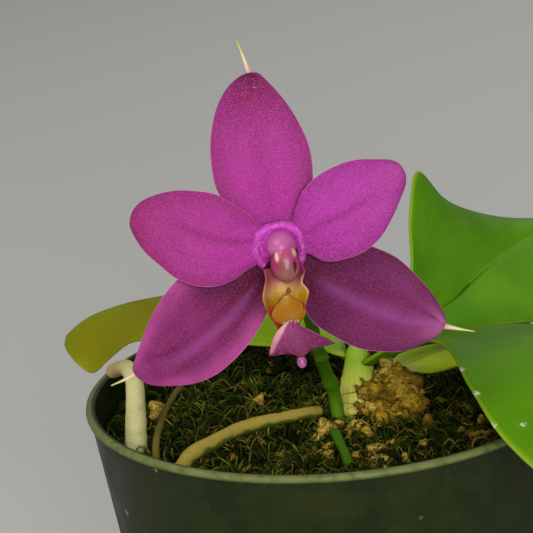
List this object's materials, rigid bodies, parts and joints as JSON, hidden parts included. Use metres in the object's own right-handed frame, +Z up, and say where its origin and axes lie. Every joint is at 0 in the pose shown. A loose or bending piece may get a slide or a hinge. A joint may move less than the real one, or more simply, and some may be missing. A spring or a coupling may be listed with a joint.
{
  "type": "potted moth orchid",
  "caption": "Small moth orchid with a star-shaped purple flower, fleshy leaves and aerial roots, growing in a round dark green nursery pot.",
  "frame": {"origin": "middle of the pot's flat base, on the surface that it stands on", "axes": "+Z up out of the pot, -Y towards the side that the flower faces, +X to the right seen from there"},
  "size_m": [0.1695, 0.181, 0.1799],
  "materials": {
    "pot_green": "dark green glossy plastic, slightly translucent",
    "mix_brown": "damp bark and fibre mix",
    "moss_green": "living moss with dry crumbs",
    "moss_dry": "dry brown moss",
    "stem_pale": "pale yellow-green, soft sheen",
    "spike_green": "green, soft sheen",
    "pedicel_green": "green to pale purple, soft sheen",
    "leaf_green": "fleshy leaf with a waxy sheen",
    "leaf_green_light": "fleshy leaf with a waxy sheen",
    "leaf_olive": "older yellow-green leaf",
    "leaf_olive_small": "small older leaf",
    "root_white": "dry white root skin",
    "root_tan": "tan root skin with a green side",
    "root_fresh": "fresh green root",
    "root_dry": "thin dry root",
    "tepal_purple": "velvety magenta-purple with a fine sparkle",
    "petal_purple": "velvety magenta-purple with a fine sparkle",
    "lip_yellow": "waxy yellow, cream and purple",
    "column_pink": "waxy pink",
    "cap_mauve": "waxy greyish pink"
  },
  "bodies": {
    "root": {"pot": "pot_green", "potting_mix": "mix_brown", "moss_carpet": "moss_green", "moss_mound_dry": "moss_dry", "stem": "stem_pale", "flower_spike": "spike_green", "pedicel": "pedicel_green", "leaf_front_right": "leaf_green", "leaf_back_right": "leaf_green_light", "leaf_back_left": "leaf_olive", "leaf_low_right": "leaf_olive_small", "root_arched_white": "root_white", "root_long": "root_tan", "root_green": "root_fresh", "root_dry_thin": "root_dry", "sepal_dorsal": "tepal_purple", "sepal_left": "tepal_purple", "sepal_right": "tepal_purple", "petal_left": "petal_purple", "petal_right": "petal_purple", "lip": "lip_yellow", "column": "column_pink", "anther_cap": "cap_mauve"}
  },
  "joints": []
}
